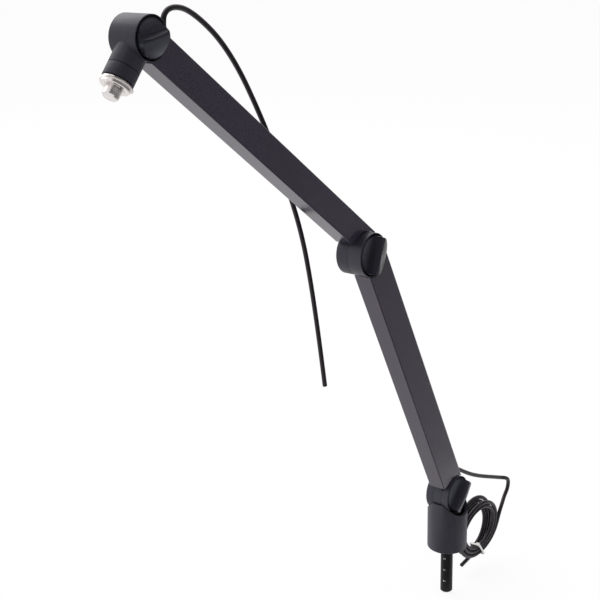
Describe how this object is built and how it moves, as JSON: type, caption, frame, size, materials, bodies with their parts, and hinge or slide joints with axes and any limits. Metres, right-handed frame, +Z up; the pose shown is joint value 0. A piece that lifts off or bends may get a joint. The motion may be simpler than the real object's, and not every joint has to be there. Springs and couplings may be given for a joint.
{
  "type": "microphone boom arm",
  "caption": "Jointed microphone boom arm: spigot base that pans, box-section arms on clamp joints with finned knobs, swivelling threaded stud, and a cable run through the tubes.",
  "frame": {"origin": "on the spigot's axis at the underside of the cup, where the spigot enters its socket", "axes": "+X the way the boom reaches, +Y the side of the clamp knobs, +Z up along the spigot's axis"},
  "size_m": [0.6992, 0.0626, 0.8021],
  "materials": {
    "anodised_tube": "bead-blasted dark anodised",
    "joint_metal": "satin charcoal anodised",
    "knob_plastic": "satin moulded",
    "black_plastic": "matt moulded",
    "fastener_steel": "dark zinc plated",
    "bearing_brass": "turned",
    "friction_plastic": "plain",
    "bright_nickel": "bright nickel plated",
    "black_steel": "blackened",
    "lead_jacket": "satin jacket",
    "white_nylon": "plain"
  },
  "bodies": {
    "stand": {"spigot": "black_steel", "pan_thrust_washer": "friction_plastic", "pan_washer": "fastener_steel", "pan_screw": "fastener_steel"},
    "turret": {"base_cup": "joint_metal", "pan_bush": "bearing_brass", "base_fork": "joint_metal", "fork_screws": "fastener_steel", "base_axle": "fastener_steel", "base_axle_cap": "black_plastic", "base_disc_springs": "fastener_steel", "lower_lead": "lead_jacket", "lower_coil": "lead_jacket", "coil_tie": "white_nylon"},
    "lower_arm": {"base_tongue": "joint_metal", "base_bush": "bearing_brass", "base_friction_washers": "friction_plastic", "lower_tube": "anodised_tube", "lower_tube_screws": "fastener_steel", "elbow_near_knuckle": "joint_metal", "elbow_bush": "bearing_brass", "elbow_disc_springs": "fastener_steel", "lower_lead_bush": "black_plastic", "lower_cable_run": "lead_jacket"},
    "upper_arm": {"elbow_far_knuckle": "joint_metal", "elbow_axle": "fastener_steel", "elbow_axle_cap": "black_plastic", "elbow_friction_washer": "friction_plastic", "upper_tube": "anodised_tube", "upper_tube_screws": "fastener_steel", "head_tongue": "joint_metal", "head_bush": "bearing_brass", "head_friction_washers": "friction_plastic", "upper_lead_bush": "black_plastic", "upper_cable_run": "lead_jacket", "upper_lead": "lead_jacket"},
    "head": {"head_housing": "joint_metal", "head_axle": "fastener_steel", "head_axle_cap": "black_plastic", "head_disc_springs": "fastener_steel", "swivel_bush": "bearing_brass"},
    "mic_swivel": {"swivel_sleeve": "joint_metal", "swivel_retainer": "fastener_steel", "mic_stud": "bright_nickel"},
    "lock_ring": {"lock_ring": "bright_nickel"},
    "base_knob": {"base_knob": "knob_plastic", "base_knob_insert": "bearing_brass"},
    "elbow_knob": {"elbow_knob": "knob_plastic", "elbow_knob_insert": "bearing_brass"},
    "head_knob": {"head_knob": "knob_plastic", "head_knob_insert": "bearing_brass"}
  },
  "joints": [
    {"name": "base_pan", "type": "hinge", "parent": "stand", "child": "turret", "pos_m": [0, 0, 0], "axis": [0, 0, 1], "continuous": true},
    {"name": "base_tilt", "type": "hinge", "parent": "turret", "child": "lower_arm", "pos_m": [0, 0, 0.078], "axis": [0, -1, 0], "range_deg": [-38, 47], "deforming": ["lower_lead"]},
    {"name": "elbow_tilt", "type": "hinge", "parent": "lower_arm", "child": "upper_arm", "pos_m": [0.18495, 0, 0.44414], "axis": [0, -1, 0], "range_deg": [-102, 40]},
    {"name": "head_tilt", "type": "hinge", "parent": "upper_arm", "child": "head", "pos_m": [0.50684, 0, 0.71145], "axis": [0, -1, 0], "range_deg": [0, 85]},
    {"name": "head_swivel", "type": "hinge", "parent": "head", "child": "mic_swivel", "pos_m": [0.52719, -0.0098, 0.68676], "axis": [0.6361, 0, -0.7716], "range_deg": [-170, 170]},
    {"name": "ring_turn", "type": "hinge", "parent": "mic_swivel", "child": "lock_ring", "pos_m": [0.54227, -0.0098, 0.66847], "axis": [0.6361, 0, -0.7716], "range_deg": [-180, 180]},
    {"name": "base_knob_turn", "type": "hinge", "parent": "turret", "child": "base_knob", "pos_m": [0, 0, 0.078], "axis": [0, 1, 0], "range_deg": [-180, 180]},
    {"name": "elbow_knob_turn", "type": "hinge", "parent": "lower_arm", "child": "elbow_knob", "pos_m": [0.18495, 0, 0.44414], "axis": [0, 1, 0], "range_deg": [-180, 180]},
    {"name": "head_knob_turn", "type": "hinge", "parent": "head", "child": "head_knob", "pos_m": [0.50684, 0, 0.71145], "axis": [0, 1, 0], "range_deg": [-180, 180]}
  ]
}
